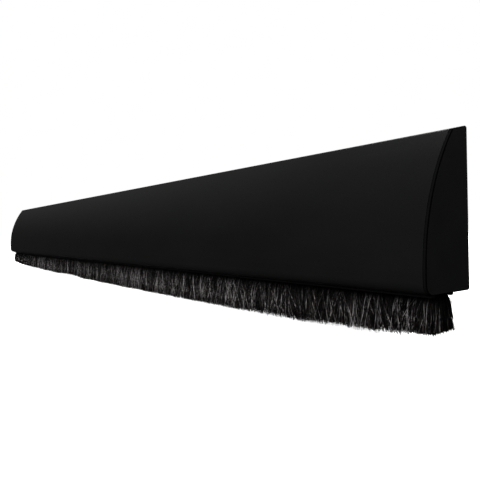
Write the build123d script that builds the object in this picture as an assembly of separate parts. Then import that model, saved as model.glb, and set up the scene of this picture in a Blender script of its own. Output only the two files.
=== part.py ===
from build123d import *
import os
from math import atan, cos, radians, sin

# A surface-mounted brush sweep for the bottom of a door: a flat rail that screws to the door,
# a curved cover hooked over it, two end caps and a strip brush.
#
# Frame: X along the sweep, -Y out of the door, +Z up. The origin is the centre of the back face,
# which lies on the door at Y = 0. Heights in the sections below are measured from the underside
# of the housing, and each section is moved down by half the housing's height when it is placed.

# Driving dimensions, in millimetres
length = 600.0
housing_height = 54.0
housing_depth = 23.5
bristle_drop = 17.0

# Outline of the housing
top_width = 8.0
top_fall = 1.7
front_flat = 7.0
front_curve_radius = 73.65
lower_front_radius = 3.5
top_front_radius = 0.8
back_corner_radius = 0.8

# Walls and clearances
cap_plate = 1.0
cap_gap = 0.3
cover_wall = 1.5
rail_wall = 2.0
profile_length = length - 2 * (cap_plate + cap_gap)

# Hook joint of the cover, along the top of the rail
hook_y = -5.0
hook_z = 50.2
bead_radius = 1.2
hook_inner_radius = 1.28
hook_back_angle = 30
hook_front_angle = 215
hook_opening_step = 35
hook_root_radius = 0.5
hook_web = 1.2
hook_shelf_z = 46.0
top_slope = atan(top_fall / top_width)
hook_outer_radius = (housing_height + hook_y * top_fall / top_width - hook_z) * cos(top_slope)
hook_tangent_y = hook_y - hook_outer_radius * sin(top_slope)

# Brush channel, along the bottom of the rail
brush_y = -13.4
channel_width = 9.0
channel_floor = 1.4
channel_height = 5.8
channel_mouth = 7.4
channel_reveal = 1.0
channel_front_wall = 1.6
channel_back_wall = 1.4
channel_top_wall = 1.4
channel_front = brush_y - channel_width / 2 - channel_front_wall
channel_back = brush_y + channel_width / 2 + channel_back_wall
channel_top = channel_floor + channel_height + channel_top_wall

# Snap along the bottom of the cover
lip_gap = 0.3
lip_end = channel_front - lip_gap
lip_rib_width = 0.8
section_radius = 0.3
lip_rib_top = 1.9
snap_nose_depth = 0.8
snap_nose_z = 2.2
snap_nose_height = 0.8

# Round port for the end caps' pegs
port_y = -5.2
port_z = 36.0
port_inner_radius = 2.0
port_outer_radius = 3.2
port_neck = 2.8

# Screw slots, upright so that the brush can be set to the floor
slot_pitch = 150.0
slot_count = 4
slot_z = 21.5
slot_length = 12.0
slot_width = 4.5

# Foam tapes let into the back
tape_depth = 0.8
tape_length = 590.0
tape_upper_z = 38.0
tape_upper_width = 10.0
tape_lower_z = 2.0
tape_lower_width = 8.0

# Strip brush
strip_length = 596.0
backing_width = 8.6
backing_height = 5.0
backing_sheet = 0.6
wire_radius = 1.0
wire_cover = 0.6
bristle_axis_drop = 3.6
bristle_top_radius = 2.4
bristle_tip_width = 12.4
bristle_tip_radius = 2.0

# Set screws that clamp the strip brush
set_screw_pitch = 200.0
set_screw_count = 3
set_screw_radius = 1.5
set_screw_length = 2.6
set_screw_z = 5.0
hex_radius = 0.87
hex_depth = 1.2

# Inner side of the end caps
peg_clearance = 0.05
peg_length = 12.0
block_clearance = 0.1
block_length = 10.0
peg_chamfer = 0.5
rib_wall = 1.2
rib_depth = 3.0
rib_gap = 0.3
rib_low = 10.0
rib_high = 44.0
cap_edge = 0.3


def area(y0, y1, z0, z1):
    """A rectangle of a section, from y0 to y1 across and z0 to z1 up."""
    return Pos((y0 + y1) / 2, (z0 + z1) / 2) * Rectangle(abs(y1 - y0), abs(z1 - z0))


def disc(y, z, radius):
    """A round of a section."""
    return Pos(y, z) * Circle(radius)


def place(section, x_from, x_to):
    """Draws a section out along X, and moves it to its height."""
    solid = extrude(Plane.YZ * section, amount=x_to - x_from)
    return Pos(x_from, 0, -housing_height / 2) * solid


def run(section, span):
    """Draws a section out along X, centred on the origin."""
    return place(section, -span / 2, span / 2)


def spread(count, pitch):
    """Places at one pitch, centred on the origin."""
    return [(i - (count - 1) / 2) * pitch for i in range(count)]


def housing_outline():
    """The D shape of the housing: flat back, sloping top, curved front, flat underside."""
    top_back = (0, housing_height)
    top_front = (-top_width, housing_height - top_fall)
    curve_end = (-housing_depth, front_flat)
    flat_end = (-housing_depth, lower_front_radius)
    under_front = (-housing_depth + lower_front_radius, 0)
    edge = Line((0, 0), top_back)
    edge += Line(top_back, top_front)
    edge += RadiusArc(top_front, curve_end, -front_curve_radius)
    edge += Line(curve_end, flat_end)
    edge += RadiusArc(flat_end, under_front, -lower_front_radius)
    edge += Line(under_front, (0, 0))
    return make_face(edge)


def near(sketch, y, z):
    """The corner of a sketch nearest to a point."""
    return sketch.vertices().sort_by_distance((y, z, 0))[0]


def soften(sketch, y, z):
    """Rounds the corner of a section nearest to a point, as extruded corners are."""
    return fillet(near(sketch, y, z), section_radius)


def cover_profile():
    """Curved shell with a hook along its top and a snap lip along its bottom."""
    outline = housing_outline()
    shell = outline - offset(outline, amount=-cover_wall, kind=Kind.INTERSECTION)
    below_hook = area(-housing_depth, lip_end, 0, hook_shelf_z)
    beside_hook = area(-housing_depth, hook_tangent_y, channel_top, housing_height)
    wall = shell & (below_hook + beside_hook)
    wall = fillet(near(wall, -top_width, housing_height - top_fall), top_front_radius)

    reach = 2 * hook_outer_radius
    corners = [(0, 0)]
    for angle in range(hook_front_angle, 360 + hook_back_angle + 1, hook_opening_step):
        corners.append((reach * cos(radians(angle)), reach * sin(radians(angle))))
    opening = Pos(hook_y, hook_z) * make_face(Polyline(*corners, close=True))
    hook = disc(hook_y, hook_z, hook_outer_radius) - opening
    rib = area(lip_end - lip_rib_width, lip_end, cover_wall / 2, lip_rib_top)
    section = (wall + hook) - disc(hook_y, hook_z, hook_inner_radius) + rib
    section = soften(section, lip_end, lip_rib_top)
    section = fillet(near(section, hook_y - hook_outer_radius, hook_z), hook_root_radius)
    return run(section, profile_length)


def mounting_rail():
    """Back plate with the hook's bead, the pegs' port, the brush channel and the screw slots."""
    back = area(-rail_wall, 0, 0, housing_height) & housing_outline()
    shelf = area(hook_y - hook_web / 2, -rail_wall, hook_shelf_z, hook_shelf_z + hook_web)
    web = area(hook_y - hook_web / 2, hook_y + hook_web / 2, hook_shelf_z, hook_z)
    bead = disc(hook_y, hook_z, bead_radius)

    port = disc(port_y, port_z, port_outer_radius)
    neck = area(port_y, -rail_wall, port_z - port_neck / 2, port_z + port_neck / 2)
    port_hole = disc(port_y, port_z, port_inner_radius)

    block = area(channel_front, 0, 0, channel_top)
    block += area(channel_front, channel_back, -channel_reveal, 0)
    half = channel_width / 2
    mouth = channel_mouth / 2
    ceiling = channel_floor + channel_height
    channel = area(brush_y - half, brush_y + half, channel_floor, ceiling)
    channel += area(brush_y - mouth, brush_y + mouth, -channel_reveal, channel_floor)
    chamber = area(channel_back, -rail_wall, channel_floor, ceiling)
    nose = area(channel_front - snap_nose_depth, channel_front, snap_nose_z,
                snap_nose_z + snap_nose_height)

    upper = area(-tape_depth, 0, tape_upper_z, tape_upper_z + tape_upper_width)
    lower = area(-tape_depth, 0, tape_lower_z, tape_lower_z + tape_lower_width)
    section = back + shelf + web + bead + port + neck + block + nose
    section = section - port_hole - channel - chamber - upper - lower
    section = soften(section, hook_y - hook_web / 2, hook_shelf_z)
    section = soften(section, channel_front, channel_top)
    section = soften(section, channel_front, -channel_reveal)
    section = soften(section, channel_back, -channel_reveal)
    section = soften(section, -rail_wall, housing_height)
    section = soften(section, -rail_wall, channel_top)
    section = soften(section, -rail_wall, hook_shelf_z)
    for corner_z in (-channel_reveal, channel_floor):
        section = soften(section, brush_y - mouth, corner_z)
        section = soften(section, brush_y + mouth, corner_z)
    rail = run(section, profile_length)

    slot = SlotOverall(slot_length, slot_width, rotation=90)
    for x in spread(slot_count, slot_pitch):
        z = slot_z - housing_height / 2
        rail -= extrude(Plane.XZ * Pos(x, z) * slot, amount=2 * rail_wall, both=True)
    for x in spread(set_screw_count, set_screw_pitch):
        rail -= set_screw_bore(x)
    return rail


def set_screw_bore(x):
    """The tapped hole through the front wall of the brush channel."""
    z = set_screw_z - housing_height / 2
    start = brush_y - channel_width / 2
    across = Plane(origin=(x, start, z), z_dir=(0, -1, 0))
    return extrude(across * Circle(set_screw_radius), amount=channel_front_wall)


def brush_set_screws():
    """Headless screws that press the strip brush against the back of its channel."""
    z = set_screw_z - housing_height / 2
    screws = []
    for x in spread(set_screw_count, set_screw_pitch):
        tip = Plane(origin=(x, brush_y - backing_width / 2, z), z_dir=(0, -1, 0))
        outer = Plane(origin=(x, brush_y - backing_width / 2 - set_screw_length, z),
                      z_dir=(0, 1, 0))
        body = extrude(tip * Circle(set_screw_radius), amount=set_screw_length)
        socket = extrude(outer * RegularPolygon(hex_radius, 6), amount=hex_depth)
        screws.append(body - socket)
    return Compound(children=screws)


def brush_backing():
    """Folded steel channel that grips the bristles."""
    half = backing_width / 2
    roof = channel_floor + backing_height
    outer = area(brush_y - half, brush_y + half, channel_floor, roof)
    inner = area(brush_y - half + backing_sheet, brush_y + half - backing_sheet,
                 channel_floor, roof - backing_sheet)
    return run(outer - inner, strip_length)


def core_section():
    """Round of the wire that the bristles are folded over."""
    z = channel_floor + backing_height - backing_sheet - wire_cover - wire_radius
    return disc(brush_y, z, wire_radius)


def brush_core_wire():
    """Steel wire inside the folded channel."""
    return run(core_section(), strip_length)


def bristle_roots():
    """The part of the bristles that is folded over the wire and gripped."""
    half = backing_width / 2 - backing_sheet
    roof = channel_floor + backing_height - backing_sheet
    pack = area(brush_y - half, brush_y + half, -channel_reveal, roof)
    return run(pack - core_section(), strip_length)


def bristle_tips():
    """The free part of the bristles, which leans about a line just under the housing."""
    top = -bristle_axis_drop
    half = bristle_tip_width / 2
    side = Polyline((brush_y - bristle_top_radius, top),
                    (brush_y - half, -bristle_drop),
                    (brush_y + half, -bristle_drop),
                    (brush_y + bristle_top_radius, top), close=True)
    skirt = make_face(side)
    low = skirt.vertices().group_by(Axis.Y)[0]
    skirt = fillet(low, bristle_tip_radius)
    section = skirt + disc(brush_y, top, bristle_top_radius)
    return run(section, strip_length)


def end_cap(side):
    """Flat plate of the housing's outline with a peg, a block and a locating rib. side is 1 or -1."""
    outline = housing_outline()
    outline = fillet(near(outline, -top_width, housing_height - top_fall), top_front_radius)
    outline = fillet(near(outline, 0, housing_height), back_corner_radius)
    outline = fillet(near(outline, 0, 0), back_corner_radius)
    inner_x = length / 2 - cap_plate
    plate = place(outline, inner_x, length / 2)
    plate = chamfer(plate.faces().sort_by(Axis.X)[-1].edges(), cap_edge)

    peg = place(disc(port_y, port_z, port_inner_radius - peg_clearance),
                inner_x - peg_length, inner_x)
    peg = chamfer(peg.faces().sort_by(Axis.X)[0].edges(), peg_chamfer)

    block = area(channel_back + block_clearance, -rail_wall - block_clearance,
                 channel_floor + block_clearance, channel_floor + channel_height - block_clearance)
    block = place(block, inner_x - block_length, inner_x)
    block = chamfer(block.faces().sort_by(Axis.X)[0].edges(), peg_chamfer)

    full = housing_outline()
    rib_outer = cover_wall + rib_gap
    band = offset(full, amount=-rib_outer, kind=Kind.INTERSECTION)
    band -= offset(full, amount=-rib_outer - rib_wall, kind=Kind.INTERSECTION)
    rib = band & area(-housing_depth, -top_width, rib_low, rib_high)
    rib = place(rib, inner_x - rib_depth, inner_x)

    cap = plate + peg + block + rib
    return cap if side > 0 else mirror(cap, about=Plane.YZ)


def tape(z, width):
    """A foam strip let into the rail's back, flush with it."""
    return run(area(-tape_depth, 0, z, z + width), tape_length)


parts = {
    "mounting_rail": mounting_rail(),
    "cover_profile": cover_profile(),
    "end_cap_left": end_cap(-1),
    "end_cap_right": end_cap(1),
    "brush_backing": brush_backing(),
    "brush_core_wire": brush_core_wire(),
    "bristle_roots": bristle_roots(),
    "bristle_tips": bristle_tips(),
    "brush_set_screws": brush_set_screws(),
    "tape_upper": tape(tape_upper_z, tape_upper_width),
    "tape_lower": tape(tape_lower_z, tape_lower_width),
}

os.makedirs("parts", exist_ok=True)
for name, solid in parts.items():
    export_step(solid, "parts/" + name + ".step")
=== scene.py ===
import math

import bpy
import numpy as np
from mathutils import Matrix, Vector


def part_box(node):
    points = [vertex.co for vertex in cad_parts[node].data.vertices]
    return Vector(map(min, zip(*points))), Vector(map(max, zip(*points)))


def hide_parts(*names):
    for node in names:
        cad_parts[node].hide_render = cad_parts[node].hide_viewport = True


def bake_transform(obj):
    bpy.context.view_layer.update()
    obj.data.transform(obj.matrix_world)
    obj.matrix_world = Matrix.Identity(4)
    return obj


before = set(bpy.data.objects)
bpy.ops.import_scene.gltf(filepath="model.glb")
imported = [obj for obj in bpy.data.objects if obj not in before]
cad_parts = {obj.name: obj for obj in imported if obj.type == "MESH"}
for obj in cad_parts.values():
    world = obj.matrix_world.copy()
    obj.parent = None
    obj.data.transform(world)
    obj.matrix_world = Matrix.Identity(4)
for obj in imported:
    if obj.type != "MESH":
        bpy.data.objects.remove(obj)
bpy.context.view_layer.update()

# A black brush sweep for the bottom of a door. The housing's CAD nodes stay and get their finishes
# here. The bristles are made here, hair by hair, in place of the two closed solids that stand for
# them. Everything is in metres: X along the sweep, -Y out of the door, +Z up.

MM = 0.001

# Places and sizes, from the frame. mouth_half and tip_half are half the brush's thickness, at the
# channel and at the floor, and the lips are the channel's, which stand below the housing.
cap_low, cap_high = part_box("end_cap_right")
roots_low, roots_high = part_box("bristle_roots")
tips_low, tips_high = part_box("bristle_tips")
length = cap_high.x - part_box("end_cap_left")[0].x
height = cap_high.z - cap_low.z
underside = cap_low.z
lips_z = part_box("mounting_rail")[0].z
floor_z = tips_low.z
full_drop = underside - floor_z
brush_y = (tips_low.y + tips_high.y) / 2
tip_half = (tips_high.y - tips_low.y) / 2
mouth_half = (roots_high.y - roots_low.y) / 2
strip_end = tips_high.x


# ---------------------------------------------------------------- materials

# Where most of a noise's values lie, and the cosines of the normal's turn at a full and at no edge
MOST = (0.3, 0.7)
CORNER = (0.90, 0.995)


class Nodes:
    """A material's node tree, with short calls for the nodes that the finishes share."""

    def __init__(self, name):
        self.material = bpy.data.materials.new(name)
        self.material.use_nodes = True
        self.tree = self.material.node_tree
        self.shader = self.tree.nodes["Principled BSDF"]
        self.place = self.tree.nodes.new("ShaderNodeTexCoord").outputs["Object"]

    def add(self, kind, **inputs):
        node = self.tree.nodes.new(kind)
        for key, value in inputs.items():
            self.put(value, node.inputs[key.replace("_", " ")])
        return node

    def put(self, value, socket):
        if isinstance(value, bpy.types.NodeSocket):
            self.tree.links.new(value, socket)
        else:
            socket.default_value = value

    def set(self, name, value):
        self.put(value, self.shader.inputs[name])

    def noise(self, scale, stretch=(1, 1, 1), detail=2.0, rough=0.5):
        """Noise of so many features a metre, stretched where stretch is under 1."""
        mapping = self.add("ShaderNodeMapping", Vector=self.place, Scale=stretch)
        node = self.add("ShaderNodeTexNoise", Vector=mapping.outputs["Vector"], Scale=scale,
                        Detail=detail, Roughness=rough)
        return node.outputs["Fac"]

    def span(self, value, low, high, to_low, to_high):
        """value between low and high becomes a value between to_low and to_high, clamped."""
        node = self.add("ShaderNodeMapRange", Value=value, From_Min=low, From_Max=high,
                        To_Min=to_low, To_Max=to_high)
        return node.outputs["Result"]

    def math(self, operation, a, b):
        node = self.tree.nodes.new("ShaderNodeMath")
        node.operation = operation
        self.put(a, node.inputs[0])
        self.put(b, node.inputs[1])
        return node.outputs["Value"]

    def mix(self, factor, a, b):
        node = self.tree.nodes.new("ShaderNodeMix")
        node.data_type = "RGBA"
        self.put(factor, node.inputs["Factor"])
        self.put(a, node.inputs["A"])
        self.put(b, node.inputs["B"])
        return node.outputs["Result"]

    def facing(self):
        """The face's own direction, as X, Y and Z outputs."""
        normal = self.tree.nodes.new("ShaderNodeNewGeometry").outputs["Normal"]
        return self.add("ShaderNodeSeparateXYZ", Vector=normal).outputs

    def edges(self, radius, low, high):
        """From 0 on a flat face to 1 along a convex or concave edge of about this radius."""
        bevel = self.tree.nodes.new("ShaderNodeBevel")
        bevel.samples = 6
        bevel.inputs["Radius"].default_value = radius
        flat = self.tree.nodes.new("ShaderNodeNewGeometry").outputs["Normal"]
        dot = self.tree.nodes.new("ShaderNodeVectorMath")
        dot.operation = "DOT_PRODUCT"
        self.put(bevel.outputs["Normal"], dot.inputs[0])
        self.put(flat, dot.inputs[1])
        return self.span(dot.outputs["Value"], high, low, 0.0, 1.0)

    def bump(self, *layers):
        """Bumps, each a pair of a height and a depth in metres, one on top of another."""
        normal = None
        for value, depth in layers:
            node = self.add("ShaderNodeBump", Height=value, Distance=depth, Strength=1.0)
            if normal:
                self.put(normal, node.inputs["Normal"])
            normal = node.outputs["Normal"]
        self.set("Normal", normal)


def grey(value, warmth=0.0):
    """A dark neutral colour, a little warmer or cooler."""
    return (value * (1 + warmth), value, value * (1 - warmth), 1.0)


def coated_metal(name, shade, roughness):
    """Satin black powder coat on an aluminium extrusion: fine orange peel, faint draw lines along
    the profile, cloudy gloss and edges rubbed a little brighter."""
    n = Nodes(name)
    peel = n.noise(1700, detail=3)
    speck = n.noise(7000, detail=1)
    draw = n.noise(900, stretch=(0.004, 1, 1), detail=3)
    cloud = n.noise(45, stretch=(0.35, 1, 1), detail=4)
    rub = n.math("MULTIPLY", n.edges(0.5 * MM, *CORNER), n.span(peel, *MOST, 0.35, 1.0))
    body = n.mix(n.span(cloud, *MOST, 0.0, 1.0), grey(shade * 0.9), grey(shade * 1.12))
    body = n.mix(n.span(speck, 0.58, 0.75, 0.0, 0.35), body, grey(shade * 1.7))
    n.set("Base Color", n.mix(n.math("MULTIPLY", rub, 0.4), body, grey(shade * 2.0)))
    gloss = n.math("ADD", n.span(cloud, *MOST, -0.03, 0.04), n.span(speck, 0.2, 0.8, -0.03, 0.03))
    worn = n.math("MULTIPLY", rub, -0.08)
    n.set("Roughness", n.math("ADD", n.math("ADD", gloss, roughness), worn))
    n.set("Specular IOR Level", 0.05)
    n.bump((draw, 0.006 * MM), (peel, 0.03 * MM))
    return n.material


def moulded_plastic(name, shade, roughness):
    """Matte black moulding: spark-eroded grain and faint flow clouds on the flat faces, the sides round
    them painted darker as painted shade, a chamfer between them painted near black as a painted
    shadow line, and rubbed edges."""
    n = Nodes(name)
    grain = n.noise(3200, detail=2, rough=0.65)
    cloud = n.noise(70, detail=3)
    rub = n.math("MULTIPLY", n.edges(0.35 * MM, *CORNER), n.span(grain, *MOST, 0.3, 1.0))
    body = n.mix(n.span(cloud, *MOST, 0.0, 1.0), grey(shade * 0.88), grey(shade * 1.12))
    # Colour by which way a face turns: the narrow sides get painted shade, and the chamfer gets a
    # near-black painted shadow line where the cap meets the cover. Both are darker than the outer face.
    side = n.math("ABSOLUTE", n.facing()["X"], 0.0)
    flat = n.span(side, 0.8, 0.95, 0.0, 1.0)
    shaded_rim_and_chamfer = n.mix(n.span(side, 0.3, 0.6, 0.0, 1.0), grey(shade * 0.55), grey(shade * 0.1))
    body = n.mix(flat, shaded_rim_and_chamfer, body)
    n.set("Base Color", n.mix(n.math("MULTIPLY", rub, 0.2), body, grey(shade * 1.6)))
    n.set("Roughness", n.math("ADD", n.span(grain, 0.2, 0.8, -0.05, 0.05),
                              n.math("ADD", n.math("MULTIPLY", rub, -0.1), roughness)))
    n.set("Specular IOR Level", n.span(flat, 0.0, 1.0, 0.0, 0.08))
    n.bump((grain, 0.035 * MM))
    return n.material


def plated_steel(name):
    """Zinc-plated steel strip: rolling lines, a cool cast and dull spots."""
    n = Nodes(name)
    rolled = n.noise(1600, stretch=(0.01, 1, 1), detail=3)
    spots = n.noise(500, detail=4, rough=0.6)
    n.set("Base Color", n.mix(n.span(spots, 0.35, 0.65, 0.0, 1.0), (0.42, 0.44, 0.47, 1),
                              (0.58, 0.59, 0.60, 1)))
    n.set("Metallic", 1.0)
    n.set("Roughness", n.math("ADD", n.span(rolled, *MOST, 0.28, 0.42),
                              n.span(spots, *MOST, -0.04, 0.06)))
    n.bump((rolled, 0.008 * MM))
    return n.material


def blackened_steel(name):
    """Black-oxide screws: turned rings round each axis, oily sheen and bright rubbed edges."""
    n = Nodes(name)
    turned = n.noise(2600, stretch=(1, 0.1, 1), detail=2)
    stain = n.noise(900, detail=3)
    rub = n.edges(0.15 * MM, 0.85, 0.99)
    body = n.mix(n.span(stain, 0.35, 0.65, 0.0, 1.0), grey(0.012), grey(0.03, 0.06))
    n.set("Base Color", n.mix(n.math("MULTIPLY", rub, 0.6), body, grey(0.16)))
    n.set("Metallic", 0.7)
    n.set("Roughness", n.span(stain, *MOST, 0.30, 0.48))
    n.bump((turned, 0.01 * MM))
    return n.material


def foam_tape(name):
    """Closed-cell foam tape with its pale release paper still on."""
    n = Nodes(name)
    cells = n.add("ShaderNodeTexVoronoi", Vector=n.place, Scale=2600.0).outputs["Distance"]
    fibres = n.noise(900, stretch=(0.25, 1, 1), detail=4, rough=0.6)
    paper = n.span(n.facing()["Y"], 0.6, 0.9, 0.0, 1.0)
    foam = n.mix(n.span(cells, 0.1, 0.6, 0.0, 1.0), grey(0.012), grey(0.045))
    liner = n.mix(n.span(fibres, *MOST, 0.0, 1.0), (0.60, 0.56, 0.47, 1), (0.74, 0.71, 0.62, 1))
    n.set("Base Color", n.mix(paper, foam, liner))
    n.set("Roughness", n.span(paper, 0.0, 1.0, 0.85, 0.5))
    n.bump((cells, 0.05 * MM), (fibres, 0.01 * MM))
    return n.material


def hair(name, root, tip, roughness):
    """Animal hair: dark at the root, partly the hair's own colour and partly painted shade under the
    housing, paler to the tip, each hair and each tuft in its own tone.
    """
    n = Nodes(name)
    strand = n.noise(2400, stretch=(1, 1, 0.03), detail=3, rough=0.6)
    tuft = n.noise(420, stretch=(1, 1, 0.1), detail=2)
    fine = n.noise(9000, stretch=(1, 1, 0.15), detail=1)
    up = n.add("ShaderNodeSeparateXYZ", Vector=n.place).outputs["Z"]
    # Ramp from the root colour near the channel to the tip colour lower down. The near-black top part
    # is partly dark roots and partly painted shade from the housing's overhang.
    drop = n.span(up, underside - 0.12 * full_drop, underside - 0.7 * full_drop, 0.0, 1.0)
    own = n.math("MULTIPLY", n.span(strand, 0.40, 0.60, 0.0, 1.0),
                 n.span(tuft, 0.38, 0.62, 0.5, 1.4))
    n.set("Base Color", n.mix(n.math("MULTIPLY", own, drop), root, tip))
    n.set("Roughness", n.math("ADD", n.span(fine, *MOST, -0.08, 0.08), roughness))
    n.set("Specular IOR Level", n.span(drop, 0.0, 1.0, 0.02, 0.2))
    n.bump((fine, 0.02 * MM))
    return n.material


def give(material, *nodes):
    """Puts a material on the material slots of CAD nodes."""
    for name in nodes:
        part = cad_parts[name]
        if not part.material_slots:
            part.data.materials.append(material)
        for each in part.material_slots:
            each.material = material


# ---------------------------------------------------------------- bristles

seed = 41
pieces = 7
hairs_per_piece = 7000

# Shares of the hairs: thick pale guard hairs, strays that lean their own way, hairs cut short, hairs
# near an end that crowd into it, brown hairs, and pale hairs, which get fewer to the near end
guard_share = 0.014
stray_share = 0.18
short_share = 0.12
crowd_share = 0.2
brown_share = 0.22
pale_share = 0.11
pale_fall = 0.04

# Slopes of the hairs along the sweep: how much they differ, a stray's or a guard hair's largest, and
# the least and most outward one at an end
lean_spread = 0.20
stray_lean = 0.65
end_lean = (-0.12, 0.08)

# Sizes of the hairs and of the brush. The rings of a hair's tube are at these parts of its height,
# a short hair has one of these parts of its length, and the fan moves the far and the near end's hairs.
hair_radius = (0.07 * MM, 0.13 * MM)
guard_radius = 0.17 * MM
hair_taper = 0.6
hair_sides = 3
golden_turn = 2.399
hair_rings = np.array([0.0, 0.12, 0.3, 0.62, 1.0])[None, :]
worn_end = 6 * MM
crowded_end = 0.2 * length
inside_lips = 0.8 * MM
edge_margin = 0.3 * MM
burst_length = 0.9 * MM
waviness = 0.4 * MM
trim_margin = 1.1 * MM
trim_spread = 1.5 * MM
short_part = (0.55, 0.95)
far_fan = -1.3 * MM
near_fan = 0.7 * MM
guard_layer = 0.85


def wave(x, amount, reach, phase=0.0):
    """A sine along the sweep. reach is the length over which it turns by one radian."""
    return amount * np.sin(x / reach + phase)


def drop_below_housing(x):
    """How far the brush reaches below the housing: trimmed a little bowed, longest on the right,
    with one thin place, and worn round at both ends."""
    bowed = full_drop - 0.2 * MM - 2.6 * MM * ((x - 0.15 * length) / (0.55 * length)) ** 2
    ripple = wave(x, 0.2 * MM, 7 * MM) + wave(x, 0.15 * MM, 2.6 * MM)
    tufts = wave(x, 0.5 * MM, 0.41 * MM) * wave(x, 1.0, 0.29 * MM, wave(x, 1.3, 3 * MM))
    thin = 1.4 * MM * np.exp(-((x + length / 8) / (22 * MM)) ** 2)
    far_round = 4.0 * MM * np.exp(-(x + strip_end) / (6 * MM))
    near_round = 3.3 * MM * np.exp(-(strip_end - x) / (30 * MM))
    return bowed + ripple + tufts - thin - far_round - near_round


def lean_field(x, layer):
    """The slow lean of the tufts along the sweep, as a slope. Each layer of the brush, from front to
    back, leans in its own way."""
    return (wave(x, 0.22, 6.2 * MM, 2.3 * layer) + wave(x, 0.12, 2.7 * MM, 4.1 * layer)
            + wave(x, 0.06, 31 * MM))


def strand_paths(rng, low_x, high_x, guard):
    """Centre lines of the hairs as (count, rings, 3), from inside the channel to the tips. guard
    tells for each hair whether it is a guard hair, which lies on the outside of the brush."""
    count = len(guard)
    x = rng.uniform(low_x, high_x, count)
    crowd = (rng.random(count) < crowd_share) & (np.abs(x) > strip_end - crowded_end)
    x = np.where(crowd, np.sign(x) * (strip_end - rng.uniform(0.0, worn_end, count)), x)
    across = rng.uniform(-1.0, 1.0, count)
    outside = np.sign(across) * (guard_layer + (1 - guard_layer) * np.abs(across))
    across = np.where(guard, outside, across)
    root_y = brush_y + across * (mouth_half - edge_margin)
    root_z = lips_z + inside_lips
    slope = lean_field(x, np.round(2 * across)) + rng.normal(0.0, lean_spread, count)
    stray = rng.random(count) < stray_share
    slope = np.where(stray | guard, rng.uniform(-stray_lean, stray_lean, count), slope)
    bow = rng.normal(0.0, waviness, count)
    jitter = rng.normal(0.0, waviness, count)
    end = np.clip(1 - (strip_end - np.abs(x)) / worn_end, 0.0, 1.0)
    slope = slope * (1 - end) + np.sign(x) * rng.uniform(*end_lean, count) * end

    shortfall = trim_spread * rng.random(count) ** 0.3
    drop = drop_below_housing(x) + trim_margin - shortfall - 0.4 * MM * np.abs(across) ** 5
    drop = np.minimum(drop, full_drop)
    short = rng.random(count) < short_share
    drop = np.where(short, drop * rng.uniform(*short_part, count), drop)
    z = root_z + hair_rings * (underside - drop - root_z)[:, None]
    free = np.clip(lips_z - z, 0.0, None)
    part = free / (drop + lips_z - underside)[:, None]
    burst = 1 - np.exp(-free / burst_length)
    flare = (tip_half - mouth_half) * across[:, None] * (1.1 * burst + 0.4 * part)
    fan = np.where(x < 0, far_fan, near_fan)[:, None] * end[:, None] * burst

    path = np.empty((count, hair_rings.size, 3))
    path[:, :, 0] = x[:, None] + slope[:, None] * free + fan + bow[:, None] * np.sin(math.pi * part)
    path[:, :, 1] = root_y[:, None] + flare + jitter[:, None] * part
    path[:, :, 2] = z
    limit = cap_high.x - 0.5 * MM
    path[:, :, 0] = np.clip(path[:, :, 0], -limit, limit)
    return path


def tube_points(paths, radius):
    """The corners of a tapered tube round each path, ring by ring. Each tube is turned its own way."""
    count, rings, _ = paths.shape
    taper = np.linspace(1.0, hair_taper, rings)
    turn = np.arange(hair_sides) * (2 * math.pi / hair_sides)
    spin = (np.arange(count) * golden_turn)[:, None] + turn[None, :]
    around = np.stack([np.cos(spin), np.sin(spin), np.zeros_like(spin)], axis=-1)
    return paths[:, :, None, :] + (radius[:, None, None, None] * taper[None, :, None, None]
                                   * around[:, None, :, :])


def tube_faces(count, rings):
    """Corner numbers of the tubes' sides as (count, sides, 4), and of their top and bottom ends."""
    first = (np.arange(count) * rings * hair_sides)[:, None]
    ring = first[:, :, None] + (np.arange(rings - 1) * hair_sides)[None, :, None]
    side = np.arange(hair_sides)[None, None, :]
    after = (side + 1) % hair_sides
    quads = np.stack([ring + side, ring + hair_sides + side,
                      ring + hair_sides + after, ring + after], axis=-1)
    top = first + np.arange(hair_sides)[None, :]
    bottom = first + (rings - 1) * hair_sides + np.arange(hair_sides)[None, ::-1]
    return quads.reshape(count, -1, 4), top, bottom


def hair_mesh(name, paths, radius, materials, kinds):
    """Closed tapered tubes along the paths, in one mesh."""
    count, rings, _ = paths.shape
    quads, top, bottom = tube_faces(count, rings)
    corners = np.concatenate([quads.reshape(-1), top.reshape(-1), bottom.reshape(-1)])
    sizes = np.concatenate([np.full(quads.shape[0] * quads.shape[1], 4),
                            np.full(2 * count, hair_sides)])
    mesh = bpy.data.meshes.new(name)
    mesh.vertices.add(count * rings * hair_sides)
    points = tube_points(paths, radius)
    mesh.vertices.foreach_set("co", points.reshape(-1).astype(np.float32))
    mesh.loops.add(len(corners))
    mesh.loops.foreach_set("vertex_index", corners.astype(np.int32))
    mesh.polygons.add(len(sizes))
    mesh.polygons.foreach_set("loop_start", np.concatenate([[0], np.cumsum(sizes)[:-1]]))
    for material in materials:
        mesh.materials.append(material)
    per_quad = np.repeat(kinds, quads.shape[1])
    mesh.polygons.foreach_set("material_index", np.concatenate([per_quad, kinds, kinds]))
    mesh.polygons.foreach_set("use_smooth", np.full(len(sizes), True))
    mesh.update(calc_edges=True)
    mesh.validate()
    return mesh


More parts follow.
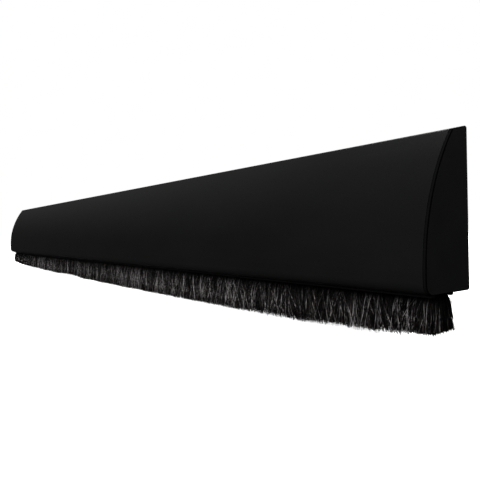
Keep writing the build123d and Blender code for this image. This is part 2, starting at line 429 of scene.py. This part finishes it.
def brush():
    """The bristles, in equal lengths along the strip, with more pale hairs toward the far end and a
    few thick pale guard hairs all along."""
    rng = np.random.default_rng(seed)
    # Each tone's first colour is at the root and is near black. This is partly dark roots and partly
    # painted shade under the housing.
    black = hair("hair_black", grey(0.0008), grey(0.010, 0.06), 0.42)
    brown = hair("hair_brown", (0.0016, 0.0012, 0.0011, 1), (0.13, 0.110, 0.106, 1), 0.42)
    pale = hair("hair_pale", (0.008, 0.007, 0.007, 1), (0.92, 0.87, 0.87, 1), 0.36)
    tones = (black, brown, pale)
    edges = np.linspace(-strip_end, strip_end, pieces + 1)
    for i in range(pieces):
        guard = rng.random(hairs_per_piece) < guard_share
        paths = strand_paths(rng, edges[i], edges[i + 1], guard)
        radius = np.where(guard, guard_radius, rng.uniform(*hair_radius, hairs_per_piece))
        light = pale_share - pale_fall * i / (pieces - 1)
        kinds = rng.choice(len(tones), hairs_per_piece, p=(1 - brown_share - light, brown_share, light))
        kinds = np.where(guard, tones.index(pale), kinds)
        name = f"bristles_{i + 1}"
        piece = bpy.data.objects.new(name, hair_mesh(name, paths, radius, tones, kinds))
        bpy.context.scene.collection.objects.link(piece)
        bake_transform(piece)
        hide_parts("bristle_tips", "bristle_roots")


# ---------------------------------------------------------------- studio

def stage_floor():
    """A plain pale floor that the brush stands on."""
    reach = 20 * length
    mesh = bpy.data.meshes.new("floor")
    mesh.from_pydata([(-reach, -reach, floor_z), (reach, -reach, floor_z),
                      (reach, reach, floor_z), (-reach, reach, floor_z)], [], [(0, 1, 2, 3)])
    floor = bpy.data.objects.new("floor", mesh)
    bpy.context.scene.collection.objects.link(floor)
    n = Nodes("floor_paper")
    n.set("Base Color", (0.85, 0.85, 0.85, 1))
    n.set("Roughness", 0.9)
    n.set("Emission Color", (1, 1, 1, 1))
    n.set("Emission Strength", 0.9)
    mesh.materials.append(n.material)
    floor.visible_glossy = False
    floor.visible_diffuse = False


def sky():
    """White behind the object, and a soft dim dome that lights it, brighter overhead."""
    world = bpy.data.worlds.new("studio")
    bpy.context.scene.world = world
    world.use_nodes = True
    tree = world.node_tree
    dome = tree.nodes["Background"]
    place = tree.nodes.new("ShaderNodeTexCoord").outputs["Generated"]
    split = tree.nodes.new("ShaderNodeSeparateXYZ")
    tree.links.new(place, split.inputs["Vector"])
    ramp = tree.nodes.new("ShaderNodeMapRange")
    tree.links.new(split.outputs["Z"], ramp.inputs["Value"])
    ramp.inputs["From Min"].default_value = 0.1
    ramp.inputs["From Max"].default_value = 0.6
    ramp.inputs["To Min"].default_value = 0.04
    ramp.inputs["To Max"].default_value = 0.3
    tree.links.new(ramp.outputs["Result"], dome.inputs["Strength"])
    white = tree.nodes.new("ShaderNodeBackground")
    dome.inputs["Color"].default_value = (1, 1, 1, 1)
    white.inputs["Color"].default_value = (1, 1, 1, 1)
    mix = tree.nodes.new("ShaderNodeMixShader")
    seen = tree.nodes.new("ShaderNodeLightPath").outputs["Is Camera Ray"]
    tree.links.new(seen, mix.inputs["Fac"])
    tree.links.new(dome.outputs["Background"], mix.inputs[1])
    tree.links.new(white.outputs["Background"], mix.inputs[2])
    tree.links.new(mix.outputs["Shader"], tree.nodes["World Output"].inputs["Surface"])


def softbox(name, at, toward, size, power):
    """A square soft light at one point, facing another."""
    light = bpy.data.lights.new(name, "AREA")
    light.shape = "SQUARE"
    light.size = size
    light.energy = power
    lamp = bpy.data.objects.new(name, light)
    lamp.location = at
    lamp.rotation_euler = (Vector(toward) - Vector(at)).to_track_quat("-Z", "Y").to_euler()
    bpy.context.scene.collection.objects.link(lamp)


def camera():
    """The camera, a few housing heights off the near lower front corner, almost level. The heading
    is the turn from -X toward +Y."""
    data = bpy.data.cameras.new("camera")
    data.sensor_width = 36.0
    data.lens = 38.44
    data.clip_start = 0.01
    data.clip_end = 100.0
    corner = Vector((cap_high.x, cap_low.y, underside))
    place = corner + Vector((1.7533, -2.5061, 0.4257)) * height
    heading = math.radians(35.12)
    pitch = math.radians(-1.449)
    roll = math.radians(-1.70)
    forward = Vector((-math.cos(heading), math.sin(heading), 0))
    right = Vector((math.sin(heading), math.cos(heading), 0))
    up = Vector((0, 0, 1))
    ahead = forward * math.cos(pitch) + up * math.sin(pitch)
    above = right.cross(ahead)
    across = right * math.cos(roll) + above * math.sin(roll)
    above = above * math.cos(roll) - right * math.sin(roll)
    cam = bpy.data.objects.new("camera", data)
    turn = Matrix((across, above, -ahead)).transposed()
    cam.matrix_world = Matrix.Translation(place) @ turn.to_4x4()
    bpy.context.scene.collection.objects.link(cam)
    bpy.context.scene.camera = cam


camera()
stage_floor()
sky()

# One soft light above and behind the housing, and one in front of it, to the right and higher up
softbox("overhead", at=(0.0, 0.55, 1.2), toward=(0, 0, 0), size=1.0, power=40.0)
softbox("front", at=(0.8, -1.75, 0.9), toward=(0, 0, 0), size=1.0, power=38.0)
bpy.context.scene.view_settings.view_transform = "Standard"

give(coated_metal("coated_cover", 0.0070, 0.36), "cover_profile")
give(coated_metal("coated_rail", 0.0065, 0.46), "mounting_rail")
give(moulded_plastic("cap_plastic", 0.0088, 0.55), "end_cap_left", "end_cap_right")
give(plated_steel("zinc_steel"), "brush_backing", "brush_core_wire")
give(blackened_steel("black_steel"), "brush_set_screws")
give(foam_tape("foam"), "tape_upper", "tape_lower")
brush()
